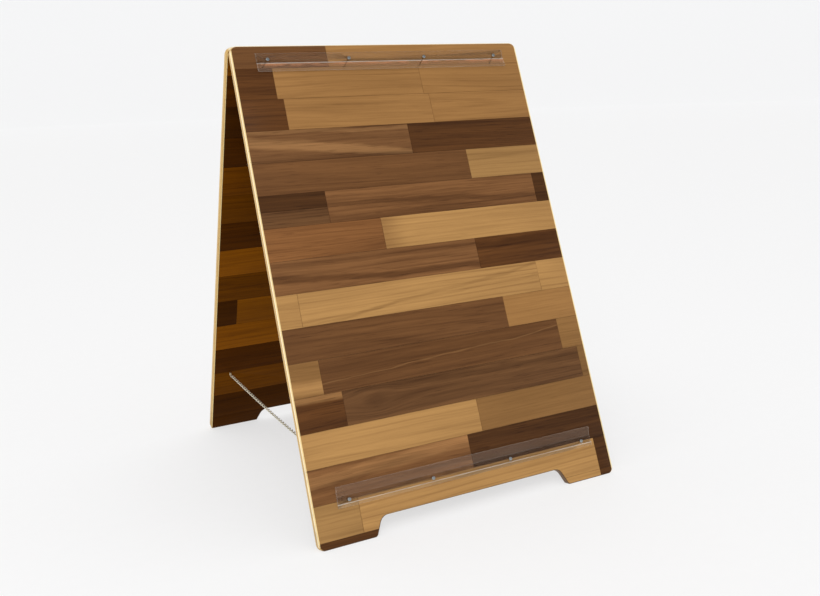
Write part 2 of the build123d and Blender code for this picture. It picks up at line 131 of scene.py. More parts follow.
# ---- node graphs -----------------------------------------------------------------------------
class Graph:
    """A material and short ways to add nodes to it."""

    def __init__(self, name):
        self.material = bpy.data.materials.new(name)
        self.material.use_nodes = True
        self.tree = self.material.node_tree
        self.tree.nodes.clear()
        self.output = self.tree.nodes.new("ShaderNodeOutputMaterial")

    def add(self, kind, settings=(), inputs=()):
        """New node with its settings, and its inputs set to values or linked to sockets."""
        node = self.tree.nodes.new(kind)
        for key, value in dict(settings).items():
            setattr(node, key, value)
        for key, value in dict(inputs).items():
            if isinstance(value, bpy.types.NodeSocket):
                self.tree.links.new(value, node.inputs[key])
            else:
                node.inputs[key].default_value = value
        return node

    def math(self, operation, *values, clamp=False):
        """Result of a Math node."""
        settings = {"operation": operation, "use_clamp": clamp}
        return self.add("ShaderNodeMath", settings, enumerate(values)).outputs[0]

    def vector(self, operation, *values):
        """Result of a Vector Math node."""
        inputs = {3 if operation == "SCALE" and i else i: v for i, v in enumerate(values)}
        return self.add("ShaderNodeVectorMath", {"operation": operation}, inputs).outputs[0]

    def centred(self, value):
        """A value from 0 to 1 moved to run from -0.5 to 0.5."""
        return self.math("SUBTRACT", value, 0.5)

    def length(self, a, b):
        """Length of a step of a one way and b across it."""
        squares = [self.math("MULTIPLY", side, side) for side in (a, b)]
        return self.math("SQRT", self.math("ADD", *squares))

    def attribute(self, name, output="Vector"):
        """One output of a mesh attribute."""
        settings = {"attribute_name": name, "attribute_type": "GEOMETRY"}
        return self.add("ShaderNodeAttribute", settings).outputs[output]

    def split(self, vector):
        """The three parts of a vector."""
        return self.add("ShaderNodeSeparateXYZ", inputs={0: vector}).outputs

    def colour_parts(self, name):
        """The three numbers that a colour attribute holds, without its alpha."""
        inputs = {0: self.attribute(name, "Color")}
        return self.add("ShaderNodeSeparateColor", inputs=inputs).outputs

    def noise(self, vector, stretch, detail=2.0, rough=0.5, distortion=0.0):
        """Noise from 0 to 1, with stretch as its frequency along each axis."""
        scaled = self.vector("MULTIPLY", vector, stretch)
        inputs = {"Vector": scaled, "Scale": 1.0, "Detail": detail}
        inputs.update({"Roughness": rough, "Distortion": distortion})
        return self.add("ShaderNodeTexNoise", inputs=inputs).outputs[0]

    def step(self, value, low, high, out_low=0.0, out_high=1.0):
        """Smooth step of value between low and high."""
        inputs = {"Value": value, "From Min": low, "From Max": high}
        inputs.update({"To Min": out_low, "To Max": out_high})
        node = self.add("ShaderNodeMapRange", {"interpolation_type": "SMOOTHSTEP"}, inputs)
        return node.outputs[0]

    def mix(self, factor, a, b, blend="MIX"):
        """Colour a where factor is 0, blended with b where it is 1."""
        settings = {"data_type": "RGBA", "blend_type": blend, "clamp_factor": True}
        return self.add("ShaderNodeMix", settings, {0: factor, 6: a, 7: b}).outputs[2]

    def times(self, colour, factors):
        """Colour with its red, green and blue multiplied by factors."""
        return self.mix(1.0, colour, (*factors, 1), "MULTIPLY")

    def darken(self, amount, colour, factors):
        """Colour as it is where amount is 0, and multiplied by factors where it is 1."""
        return self.mix(amount, colour, self.times(colour, factors))

    def bump(self, height, distance, strength=1.0):
        """Surface normal of a relief, distance metres deep."""
        inputs = {"Height": height, "Distance": distance, "Strength": strength}
        return self.add("ShaderNodeBump", inputs=inputs).outputs[0]

    def surface(self, **inputs):
        """Finished material of one Principled shader, whose inputs are named with underscores."""
        named = {key.replace("_", " "): value for key, value in inputs.items()}
        shader = self.add("ShaderNodeBsdfPrincipled", inputs=named)
        self.tree.links.new(shader.outputs[0], self.output.inputs["Surface"])
        return self.material


def linear(rgb):
    """Scene-linear colour with alpha from an 8-bit sRGB one."""
    parts = [c / 255 for c in rgb]
    parts = [c / 12.92 if c <= 0.04045 else ((c + 0.055) / 1.055) ** 2.4 for c in parts]
    return (*parts, 1.0)


# ---- wood ------------------------------------------------------------------------------------
RING_PITCH = 0.0105
RING_SHARPNESS = 5.0
WARP_HEIGHT = 0.028          # how far the grain wanders across a stave
KNOT_LENGTHWAYS = 0.45       # share of a distance along the grain that counts from a knot
SEAM_FROM, SEAM_TO = 0.0011, 0.0002
EDGE_HIGHLIGHT_FROM = 0.3016           # from the board's middle to where the painted highlight along the facing's edge starts
EDGE_HIGHLIGHT_REACH = 0.0006
WOOD_BUMP = 0.00022

# Noises of the wood: stretch along, across and through the stave, detail, roughness, distortion.
WARP_NOISE = ((1.7, 9.0, 9.0), 2.0, 0.5)
FIBRE_NOISE = ((7.0, 300.0, 300.0), 3.0, 0.68)
STREAK_NOISE = ((1.5, 75.0, 75.0), 4.0, 0.6, 0.15)
CLOUD_NOISE = ((2.2, 12.0, 12.0), 3.0, 0.5)
UNEVEN_RING_NOISE = ((0.9, 60.0, 60.0), 3.0, 0.5)
FADED_RING_NOISE = ((3.0, 25.0, 25.0), 2.0, 0.5)
WOBBLE_NOISE = ((5.5, 26.0, 26.0), 3.0, 0.6)
SEAM_NOISE = ((16.0, 16.0, 16.0), 3.0, 0.6)
PORE_NOISE = ((22.0, 520.0, 520.0), 1.0, 0.5)

# Factors on the wood's red, green and blue where something darkens or lightens it.
DARK_GRAIN = (0.50, 0.43, 0.36)
LIGHT_GRAIN = (1.52, 1.53, 1.46)
SAPWOOD = (2.3, 2.35, 2.3)
HEARTWOOD = (0.40, 0.34, 0.28)
KNOT_HEART = (0.34, 0.26, 0.2)
DARK_END = (0.42, 0.34, 0.32)
GLUED_SEAM = (0.30, 0.22, 0.15)
OPEN_PORE = (0.45, 0.38, 0.33)

SAP_CREAM = (188, 150, 100)
# Painted highlight along the facing's two side edges.
EDGE_HIGHLIGHT_CREAM = (250, 225, 165)


def knot_distance(g, at):
    """Height above the stave's knot, and distance from it in knot radii."""
    knot = g.split(g.attribute("knot"))
    rise = g.math("SUBTRACT", at[1], knot[1])
    run = g.math("MULTIPLY", g.math("SUBTRACT", at[0], knot[0]), KNOT_LENGTHWAYS)
    return rise, g.math("DIVIDE", g.length(rise, run), knot[2])


def grain_height(g, at, grain, rise, apart):
    """Height across the stave as its fibres run: wavy, and bent round the knot."""
    warp = g.centred(g.noise(grain, *WARP_NOISE))
    height = g.math("MULTIPLY_ADD", warp, WARP_HEIGHT, at[1])
    swirl = g.math("MULTIPLY", g.step(apart, 3.0, 0.3), -0.8)
    return g.math("MULTIPLY_ADD", rise, swirl, height)


def growth_rings(g, at, grain, height):
    """Lines where the stave's surface cuts the growth rings about its pith."""
    pith = g.split(g.attribute("pith"))
    across = g.math("SUBTRACT", height, pith[0])
    through = g.math("MULTIPLY_ADD", pith[2], at[0], pith[1])
    uneven = g.noise(grain, *UNEVEN_RING_NOISE)
    radius = g.math("MULTIPLY_ADD", uneven, 0.012, g.length(across, through))
    phase = g.math("MULTIPLY", radius, 2 * math.pi / RING_PITCH)
    ring = g.math("MULTIPLY_ADD", g.math("SINE", phase), 0.5, 0.5)
    ring = g.math("POWER", ring, RING_SHARPNESS)
    faded = g.step(g.noise(grain, *FADED_RING_NOISE), 0.35, 0.65, 0.25, 1.0)
    return g.math("MULTIPLY", ring, faded)


def timber_colour(g, fibre, streak, cloud, ring):
    """The stave's tint, darkened and lightened by its fibre, streaks, clouds and rings."""
    strengths = g.colour_parts("figure")
    tone = g.math("MULTIPLY_ADD", g.centred(fibre), g.math("MULTIPLY", strengths[0], 0.95), 0.5)
    tone = g.math("MULTIPLY_ADD", g.centred(streak), g.math("MULTIPLY", strengths[1], 1.25), tone)
    tone = g.math("MULTIPLY_ADD", g.centred(cloud), 0.55, tone)
    between = g.math("SUBTRACT", 0.12, ring)
    tone = g.math("MULTIPLY_ADD", between, g.math("MULTIPLY", strengths[2], 0.5), tone)
    tone = g.math("ADD", tone, 0.0, clamp=True)
    tint = g.attribute("tint", "Color")
    return g.mix(tone, g.times(tint, DARK_GRAIN), g.times(tint, LIGHT_GRAIN))


def band_reach(g, name, place, wobble):
    """How far inside one of the stave's bands a point lies: 0 outside, 1 in its middle."""
    heights = g.colour_parts(name)
    along, across = place[0], place[1]
    rise = g.math("SUBTRACT", heights[1], heights[0])
    middle = g.math("MULTIPLY_ADD", rise, along, heights[0])
    middle = g.math("ADD", middle, wobble)
    reach = g.math("DIVIDE", g.math("SUBTRACT", across, middle), heights[2])
    return g.step(g.math("ABSOLUTE", reach), 1.15, 0.35)


def with_bands(g, colour, place, wobble, streak):
    """Pale sapwood and dark heartwood bands; an attribute's alpha is 1 plus a band's strength."""
    ragged = g.math("MULTIPLY_ADD", g.centred(streak), 0.8, 1.0)
    for name in ("band_a", "band_b"):
        inside = g.math("MULTIPLY", band_reach(g, name, place, wobble), ragged)
        strength = g.attribute(name, "Alpha")
        above = g.math("MAXIMUM", g.math("SUBTRACT", strength, 1.0), 0.0)
        below = g.math("MAXIMUM", g.math("SUBTRACT", 1.0, strength), 0.0)
        sap = g.mix(0.35, g.times(colour, SAPWOOD), linear(SAP_CREAM))
        colour = g.mix(g.math("MULTIPLY", inside, above), colour, sap)
        colour = g.darken(g.math("MULTIPLY", inside, below), colour, HEARTWOOD)
    return colour


def with_knot(g, colour, apart, streak):
    """Dark heart of the knot, ragged along the streaks."""
    ragged = g.math("MULTIPLY_ADD", g.centred(streak), 1.2, apart)
    return g.darken(g.step(ragged, 1.0, 0.2, 0.0, 0.2), colour, KNOT_HEART)


def with_end(g, colour, place, wobble):
    """Darker wood towards one place along the stave."""
    end = g.split(g.attribute("end_shade"))
    away = g.math("ABSOLUTE", g.math("SUBTRACT", place[0], end[0]))
    away = g.math("DIVIDE", g.math("MULTIPLY_ADD", wobble, 0.05, away), end[1])
    return g.darken(g.math("MULTIPLY", g.step(away, 1.0, 0.0), end[2]), colour, DARK_END)


def with_seam(g, colour, at, grain):
    """Glue line of uneven strength round the stave."""
    half = g.split(g.attribute("half_size"))
    gap_u = g.math("SUBTRACT", half[0], g.math("ABSOLUTE", at[0]))
    gap_v = g.math("SUBTRACT", half[1], g.math("ABSOLUTE", at[1]))
    seam = g.step(g.math("MINIMUM", gap_u, gap_v), SEAM_FROM, SEAM_TO)
    uneven = g.step(g.noise(grain, *SEAM_NOISE), 0.32, 0.70, 0.04, 0.5)
    return g.darken(g.math("MULTIPLY", seam, uneven), colour, GLUED_SEAM)


def with_edge_highlight(g, colour, at):
    """Painted highlight: a pale line along the board's two sides."""
    centre = g.split(g.attribute("half_size"))[2]
    from_middle = g.math("ABSOLUTE", g.math("ADD", at[0], centre))
    edge_highlight = g.step(from_middle, EDGE_HIGHLIGHT_FROM, EDGE_HIGHLIGHT_FROM + EDGE_HIGHLIGHT_REACH, 0.0, 0.85)
    return g.mix(edge_highlight, colour, linear(EDGE_HIGHLIGHT_CREAM))


def wood(name, gloss, coat):
    """Varnished hardwood whose colour, grain and streaks come from each stave's attributes."""
    g = Graph(name)
    local = g.attribute("local")
    seed = g.attribute("seed")
    at = g.split(local)
    place = g.split(g.attribute("place"))
    grain = g.vector("ADD", local, seed)
    rise, apart = knot_distance(g, at)
    height = grain_height(g, at, grain, rise, apart)
    bent = g.add("ShaderNodeCombineXYZ", inputs={0: at[0], 1: height, 2: at[2]}).outputs[0]
    bent = g.vector("ADD", bent, seed)
    fibre = g.noise(bent, *FIBRE_NOISE)
    streak = g.noise(bent, *STREAK_NOISE)
    cloud = g.noise(bent, *CLOUD_NOISE)
    ring = growth_rings(g, at, grain, height)
    wobble = g.math("MULTIPLY", g.centred(g.noise(grain, *WOBBLE_NOISE)), 0.9)

    colour = timber_colour(g, fibre, streak, cloud, ring)
    colour = with_bands(g, colour, place, wobble, streak)
    colour = with_knot(g, colour, apart, streak)
    colour = with_end(g, colour, place, wobble)
    colour = with_seam(g, colour, at, grain)
    colour = with_edge_highlight(g, colour, at)
    pore = g.step(g.noise(bent, *PORE_NOISE), 0.62, 0.74)
    pore = g.math("MULTIPLY", pore, g.attribute("figure", "Alpha"))
    colour = g.darken(pore, colour, OPEN_PORE)

    rough = g.math("MULTIPLY_ADD", fibre, 0.22, 0.34)
    rough = g.math("MULTIPLY_ADD", cloud, 0.08, rough)
    relief = g.math("MULTIPLY_ADD", pore, -0.8, g.math("MULTIPLY", fibre, 0.7))
    relief = g.math("MULTIPLY_ADD", ring, -0.25, relief)
    return g.surface(Base_Color=colour, Roughness=rough, Normal=g.bump(relief, WOOD_BUMP),
                     Coat_Weight=coat, Coat_Roughness=0.3, Specular_IOR_Level=gloss)


# ---- plywood ---------------------------------------------------------------------------------
PLY = 0.00192                # thickness of one veneer
PLY_BUMP = 0.0002

# Where the core's colour changes: from and to, in metres down from its top edge, out from its
# middle, or through its thickness.
TOP_EDGE = (0.0045, 0.001)
SIDE_EDGE = (0.3030, 0.3036)
OUTER_ARRIS = (-0.0116, -0.0121)
FOOT_DIRT_AND_SHADE_SPAN = (0.60, 0.90)
SOLE = (0.853, 0.860)
INBOARD = (0.303, 0.296)

PLY_LOW, PLY_HIGH = (190, 145, 75), (240, 205, 130)
PLY_GLUE = (120, 80, 44)
# Painted highlights along the core's top edge and the outer arris of its sides.
TOP_HIGHLIGHT_CREAM = (252, 238, 204)
ARRIS_HIGHLIGHT_CREAM = (255, 242, 208)
# Dirt and painted shade towards the foot.
FOOT_DIRT_AND_SHADE_BROWN = (92, 68, 36)
SOLE_BROWN = (74, 44, 22)


def veneers(g, local, depth):
    """Glue lines between the veneers, whether a veneer shows end grain, and the grain."""
    ply = g.math("MULTIPLY", depth, 1 / PLY)
    from_glue = g.math("ABSOLUTE", g.centred(g.math("FRACT", ply)))
    glue = g.step(from_glue, 0.42, 0.5)
    odd = g.math("GREATER_THAN", g.math("FRACT", g.math("MULTIPLY", ply, 0.5)), 0.5)
    long_grain = g.noise(local, (60.0, 25.0, 900.0), 4.0, 0.6)
    end_grain = g.noise(local, (900.0, 900.0, 500.0), 3.0, 0.6)
    change = g.math("SUBTRACT", end_grain, long_grain)
    return glue, odd, g.math("MULTIPLY_ADD", odd, change, long_grain)


def plywood():
    """Pale varnished plywood edge: thin veneers across the thickness, with end grain, painted highlights along the
    top edge and outer arris, and dirt and painted shade towards the foot.
    """
    g = Graph("plywood_edge")
    local = g.attribute("local")
    at = g.split(local)
    from_middle = g.math("ABSOLUTE", at[0])
    glue, odd, grain = veneers(g, local, at[2])
    cloud = g.noise(local, (9.0, 9.0, 40.0), 3.0, 0.55)
    tone = g.math("MULTIPLY_ADD", g.centred(grain), 0.8, 0.55)
    tone = g.math("MULTIPLY_ADD", g.centred(cloud), 0.8, tone)
    tone = g.math("MULTIPLY_ADD", odd, -0.12, tone, clamp=True)
    colour = g.mix(tone, linear(PLY_LOW), linear(PLY_HIGH))
    colour = g.mix(g.math("MULTIPLY", glue, 0.35), colour, linear(PLY_GLUE))
    # Painted highlight along the top edge.
    colour = g.mix(g.step(at[1], *TOP_EDGE, 0.0, 0.9), colour, linear(TOP_HIGHLIGHT_CREAM))
    # Painted highlight along the outer arris of the core's sides.
    arris = g.math("MULTIPLY", g.step(from_middle, *SIDE_EDGE), g.step(at[2], *OUTER_ARRIS))
    colour = g.mix(arris, colour, linear(ARRIS_HIGHLIGHT_CREAM))
    # Darker towards the foot: dirt and painted shade near the floor.
    foot_dirt_and_shade = g.step(g.noise(local, (35.0, 35.0, 300.0), 4.0, 0.65), 0.35, 0.7)
    foot_dirt_and_shade = g.math("MULTIPLY", g.step(at[1], *FOOT_DIRT_AND_SHADE_SPAN, 0.0, 0.35), foot_dirt_and_shade)
    colour = g.mix(foot_dirt_and_shade, colour, linear(FOOT_DIRT_AND_SHADE_BROWN))
    sole = g.math("MULTIPLY", g.step(at[1], *SOLE), g.step(from_middle, *INBOARD))
    colour = g.mix(g.math("MULTIPLY", sole, 0.9), colour, linear(SOLE_BROWN))
    rough = g.math("MULTIPLY_ADD", grain, 0.25, 0.42)
    relief = g.math("MULTIPLY_ADD", glue, -0.6, g.math("MULTIPLY", grain, 0.6))
    return g.surface(Base_Color=colour, Roughness=rough, Normal=g.bump(relief, PLY_BUMP),
                     Coat_Weight=0.15, Coat_Roughness=0.35)


# ---- clear plastic ---------------------------------------------------------------------------
RAIL_LENGTH = 0.527
RAIL_BEAD = 0.006            # outer edge to the bead's inner side
RAIL_FOLD = 0.019            # outer edge to the fold
RAIL_TIP = 0.036             # outer edge to the lip's free edge
RAIL_SCREW_AT = 0.0117       # outer edge to the screws
RAIL_SCREW_PITCH = 0.1612
LINE_HALF = 0.0010           # half width of a painted highlight line at an edge, and of a painted screw shadow
FOLD_HALF = 0.0011
END_HALF = 0.0016

# How much of the plastic shows, from 0 for clear to 1 for solid.
CLEAR_ALPHA, HAZE_ALPHA = 0.03, 0.10
LIP_ALPHA = 0.04
BEAD_ALPHA = 0.10
# Painted glow in a top rail's lip.
PAINTED_GLOW_ALPHA = 0.42
# Painted shadows of the top rails' screws.
SCREW_SHADOW_ALPHA = 0.6

HAZE_LOW, HAZE_HIGH = (138, 118, 104), (164, 142, 126)
BEAD_CREAM = (225, 195, 155)
# Painted glow in a top rail's lip.
PAINTED_GLOW_COPPER = (222, 152, 106)
# Painted highlights at the rails' edges, bead and fold.
EDGE_HIGHLIGHT_WHITE = (248, 242, 232)
# Painted shadows of the top rails' screws.
SCREW_SHADOW_BROWN = (66, 44, 28)


def line_at(g, value, middle, half):
    """1 on a thin line where value passes middle, 0 away from it."""
    away = g.math("ABSOLUTE", g.math("SUBTRACT", value, middle))
    return g.step(away, half, half * 0.4)


def rail_highlights(g, along, depth, lower, upper, haze):
    """Painted highlights: bright lines at a rail's edges, bead and fold, of uneven strength."""
    bead = g.math("MULTIPLY_ADD", lower, 0.5, 0.08)
    fold = g.math("MULTIPLY_ADD", upper, 0.4, 0.15)
    from_middle = g.math("ABSOLUTE", along)
    lines = [
        g.math("MULTIPLY", line_at(g, depth, 0.0, LINE_HALF), 0.2),
        g.math("MULTIPLY", line_at(g, depth, RAIL_BEAD, LINE_HALF), bead),
        g.math("MULTIPLY", line_at(g, depth, RAIL_FOLD, FOLD_HALF), fold),
        g.math("MULTIPLY", line_at(g, depth, RAIL_TIP, FOLD_HALF), 0.24),
        g.math("MULTIPLY", line_at(g, from_middle, RAIL_LENGTH / 2, END_HALF), 0.24),
    ]
    bright = lines[0]
    for other in lines[1:]:
        bright = g.math("MAXIMUM", bright, other)
    return g.math("MULTIPLY", bright, g.step(haze, 0.3, 0.65, 0.7, 1.0))


def painted_lip_glow(g, local, depth, lip, upper):
    """Painted glow of warm light in a top rail's lip, strongest at its fold."""
    patches = g.step(g.noise(local, (45.0, 160.0, 1.0), 3.0, 0.6), 0.28, 0.6)
    under_fold = g.step(depth, RAIL_TIP - 0.004, RAIL_FOLD)
    glow = g.math("MULTIPLY", patches, under_fold)
    return g.math("MULTIPLY", glow, g.math("MULTIPLY", lip, upper))


def painted_screw_shadows(g, along, depth, upper):
    """Painted shadow: a fine slanting dark line from each of a top rail's screws towards the lip's free edge."""
    half_pitch = RAIL_SCREW_PITCH / 2
    from_screw = g.math("WRAP", g.math("SUBTRACT", along, half_pitch), half_pitch, -half_pitch)
    below = g.math("SUBTRACT", depth, RAIL_SCREW_AT)
    slant = g.math("MULTIPLY_ADD", below, 0.8, from_screw)
    screw_shadow = g.math("MULTIPLY", line_at(g, slant, 0.0, LINE_HALF), upper)
    start = g.step(depth, RAIL_SCREW_AT + 0.002, RAIL_SCREW_AT + 0.004)
    finish = g.step(depth, RAIL_TIP - 0.002, RAIL_TIP - 0.008)
    return g.math("MULTIPLY", g.math("MULTIPLY", screw_shadow, start), finish)


def acrylic():
    """Clear folded strip: nearly invisible face on, with painted highlights at its edges, bead and fold, a painted
    glow in a top rail's lip and painted shadows of its screws.

    The local attribute holds the place along the rail, the distance from its outer edge, and
    1 on a bottom rail or 0 on a top one.
    """
    g = Graph("clear_acrylic")
    local = g.attribute("local")
    place = g.split(local)
    along, depth, lower = place[0], place[1], place[2]
    upper = g.math("SUBTRACT", 1.0, lower)
    haze = g.noise(local, (9.0, 60.0, 1.0), 4.0, 0.6)
    lip = g.step(depth, RAIL_FOLD, RAIL_FOLD + 0.001)
    bead = g.math("MULTIPLY", g.step(depth, RAIL_BEAD + 0.0006, RAIL_BEAD), lower)
    # Painted highlights at the edges, bead and fold.
    bright = rail_highlights(g, along, depth, lower, upper, haze)
    glow = painted_lip_glow(g, local, depth, lip, upper)
    # Painted shadows of the screws.
    screw_shadow = painted_screw_shadows(g, along, depth, upper)

    alpha = g.math("MULTIPLY_ADD", haze, HAZE_ALPHA, CLEAR_ALPHA)
    alpha = g.math("MULTIPLY_ADD", lip, LIP_ALPHA, alpha)
    alpha = g.math("MULTIPLY_ADD", bead, BEAD_ALPHA, alpha)
    alpha = g.math("MAXIMUM", alpha, g.math("MULTIPLY", glow, PAINTED_GLOW_ALPHA))
    alpha = g.math("MAXIMUM", alpha, bright)
    alpha = g.math("MAXIMUM", alpha, g.math("MULTIPLY", screw_shadow, SCREW_SHADOW_ALPHA))

    colour = g.mix(haze, linear(HAZE_LOW), linear(HAZE_HIGH))
    colour = g.mix(bead, colour, linear(BEAD_CREAM))
    colour = g.mix(g.math("MULTIPLY", glow, 0.9), colour, linear(PAINTED_GLOW_COPPER))
    colour = g.mix(g.math("MULTIPLY", bright, 1.2, clamp=True), colour, linear(EDGE_HIGHLIGHT_WHITE))
    colour = g.mix(screw_shadow, colour, linear(SCREW_SHADOW_BROWN))
    rough = g.math("MULTIPLY_ADD", haze, 0.16, 0.22)
    return g.surface(Base_Color=colour, Roughness=rough, Alpha=alpha, IOR=1.49,
                     Specular_IOR_Level=0.04)


# ---- metals ----------------------------------------------------------------------------------
METAL_BUMP = 0.00003
DULL_PATCH = (0.62, 0.6, 0.58)
ZINC_LOW, ZINC_HIGH = (216, 208, 184), (254, 250, 232)
# Dark of dirt and painted shade inside the chain's links and at their middles.
DIRT_AND_SHADE = (60, 64, 50)


def metal(name, low, high, rough_low, rough_high):
    """Plated steel with mottled plating, fine scratches and dull patches."""
    g = Graph(name)
    point = g.add("ShaderNodeTexCoord").outputs["Object"]
    mottle = g.noise(point, (900.0, 900.0, 900.0), 3.0, 0.6)
    patch = g.step(g.noise(point, (120.0, 120.0, 120.0), 3.0, 0.55), 0.55, 0.75, 0.0, 0.4)
    scratch = g.step(g.noise(point, (4000.0, 700.0, 700.0), 2.0, 0.5), 0.58, 0.7)
    colour = g.darken(patch, g.mix(mottle, linear(low), linear(high)), DULL_PATCH)
    rough = g.step(mottle, 0.3, 0.7, rough_low, rough_high)
    relief = g.math("SUBTRACT", g.math("MULTIPLY", mottle, 0.5), scratch)
    return g.surface(Base_Color=colour, Metallic=1.0, Roughness=rough,
                     Normal=g.bump(relief, METAL_BUMP))


def chain_metal():
    """Zinc wire, bright at the links' ends and dark with dirt and painted shade inside and at their middles."""
    g = Graph("chain_zinc")
    point = g.add("ShaderNodeTexCoord").outputs["Object"]
    mottle = g.noise(point, (500.0, 500.0, 500.0), 3.0, 0.6)
    dirt_and_shade_mask = g.split(g.attribute("dirt_and_shade_mask"))
    inward = g.math("MAXIMUM", dirt_and_shade_mask[0], g.step(dirt_and_shade_mask[1], 0.62, 0.3))
    link_dirt_and_shade = g.math("MULTIPLY_ADD", g.centred(mottle), 0.4, inward)
    link_dirt_and_shade = g.step(link_dirt_and_shade, 0.5, 0.9, 0.0, 0.9)
    colour = g.mix(mottle, linear(ZINC_LOW), linear(ZINC_HIGH))
    colour = g.mix(link_dirt_and_shade, colour, linear(DIRT_AND_SHADE))
    rough = g.step(mottle, 0.3, 0.7, 0.28, 0.5)
    return g.surface(Base_Color=colour, Metallic=0.55, Roughness=rough,
                     Normal=g.bump(mottle, METAL_BUMP))


WOOD = wood("varnished_wood", gloss=0.09, coat=0.03)
INSIDE_WOOD = wood("varnished_wood_inside", gloss=0.03, coat=0.0)
PLYWOOD = plywood()
ACRYLIC = acrylic()
ZINC = metal("zinc_plate", (128, 136, 140), (196, 202, 204), 0.25, 0.45)
CHAIN_ZINC = chain_metal()
EYE_ZINC = metal("eye_zinc", (198, 178, 142), (244, 230, 200), 0.3, 0.5)
BRASS = metal("brass_plate", (150, 118, 66), (206, 172, 108), 0.25, 0.45)


# ---- boards' own axes ------------------------------------------------------------------------
WELD = 2e-6                  # points of a CAD mesh closer than this are one point


def board_frame(side):
    """Matrix from a closed board's axes, outer face towards -Y, to the standing board."""
    lift = Matrix.Translation((0, 0, HINGE_Z))
    if side == "front":
        return lift @ Matrix.Rotation(-LEAN, 4, "X")
    return lift @ Matrix.Rotation(LEAN, 4, "X") @ Matrix.Rotation(math.pi, 4, "Z")


def on_board(side, verts):
    """Places of vertices in their closed board's axes."""
    to_board = board_frame(side).inverted()
    return [to_board @ vert.co for vert in verts]


def on_face(face, points):
    """Distances of a board's points from the left and top edges, as the face is looked at."""
    mirrored = -1 if face == "inner" else 1
    us = [mirrored * point.x + BOARD_W / 2 for point in points]
    vs = [-point.z - PIVOT_RISE for point in points]
    return us, vs


# ---- meshes and pieces -----------------------------------------------------------------------
def welded_copy(node):
    """Copy of a CAD node's mesh with its points welded."""
    bm = bmesh.new()
    bm.from_mesh(NODES[node].data)
    bmesh.ops.remove_doubles(bm, verts=bm.verts, dist=WELD)
    return bm


def islands(bm):
    """Connected groups of vertices."""
    seen, groups = set(), []
    for start in bm.verts:
        if start in seen:
            continue
        seen.add(start)
        group, front = [start], [start]
        while front:
            for edge in front.pop().link_edges:
                for vert in edge.verts:
                    if vert not in seen:
                        seen.add(vert)
                        group.append(vert)
                        front.append(vert)
        groups.append(group)
    return groups


def eased_copy(node, width, segments=2, sharp=35.0):
    """Welded copy of a CAD node's mesh with its edges sharper than sharp degrees rounded."""
    bm = welded_copy(node)
    flat = math.radians(0.6)
    bmesh.ops.dissolve_limit(bm, angle_limit=flat, verts=bm.verts, edges=bm.edges)
    limit = math.radians(sharp)
    edges = [e for e in bm.edges if e.is_manifold and e.calc_face_angle(0.0) > limit]
    bmesh.ops.bevel(bm, geom=edges, offset=width, segments=segments, affect="EDGES",
                    clamp_overlap=True, profile=0.6)
    return bm


def set_attributes(mesh, values):
    """Write per-vertex attributes given as {name: list of 3 or 4 numbers per vertex}."""
    for name, rows in values.items():
        kind = "FLOAT_COLOR" if len(rows[0]) == 4 else "FLOAT_VECTOR"
        key = "color" if kind == "FLOAT_COLOR" else "vector"
        attribute = mesh.attributes.new(name, kind, "POINT")
        attribute.data.foreach_set(key, [x for row in rows for x in row])


def material_slot(node):
    """The record's material slot of a CAD node."""
    return next(s["material_slot"] for s in frame["record"]["subparts"] if s["node"] == node)


def body_of(node):
    """The body that a CAD node belongs to."""
    bodies = frame["record"]["behaviour"]["bodies"]
    return next(body for body, members in bodies.items() if node in members)


def new_piece(name, bm, material, node, values=None):
    """Object from a bmesh that stands for one CAD node, on its body and with the given material."""
    mesh = bpy.data.meshes.new(name)
    bm.to_mesh(mesh)
    bm.free()
    if values:
        set_attributes(mesh, values)
    mesh.materials.append(material)
    mesh.shade_smooth()
    mesh.set_sharp_from_angle(angle=math.radians(30))
    piece = bpy.data.objects.new(name, mesh)
    bpy.context.scene.collection.objects.link(piece)
    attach(piece, body_of(node))
    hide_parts(node)


# ---- staves ----------------------------------------------------------------------------------
# Width of the rounding on each kind of piece.
STAVE_EASE = 0.00028
CORE_EASE = 0.0007
RAIL_EASE = 0.00035
LEAF_EASE = 0.0002


def face_staves(side, face):
    """Every stave of a face: its node, its box on the board, and its row and place in the row."""
    staves = []
    for node in NODES:
        if not node.startswith(f"{side}_{face}_"):
            continue
        bm = welded_copy(node)
        for group in islands(bm):
            us, vs = on_face(face, on_board(side, group))
            staves.append({"node": node, "u": (min(us), max(us)), "v": (min(vs), max(vs))})
        bm.free()
    first, full = ROW_HEIGHTS[face]
    for stave in staves:
        middle = (stave["v"][0] + stave["v"][1]) / 2
        stave["row"] = 1 if middle < first else 2 + int((middle - first) / full)
    staves.sort(key=lambda s: (s["row"], round(s["u"][0], 3), s["v"][0]))
    place = 0
    for before, stave in zip([None] + staves, staves):
        place = place + 1 if before and before["row"] == stave["row"] else 1
        stave["place"] = place
    return staves


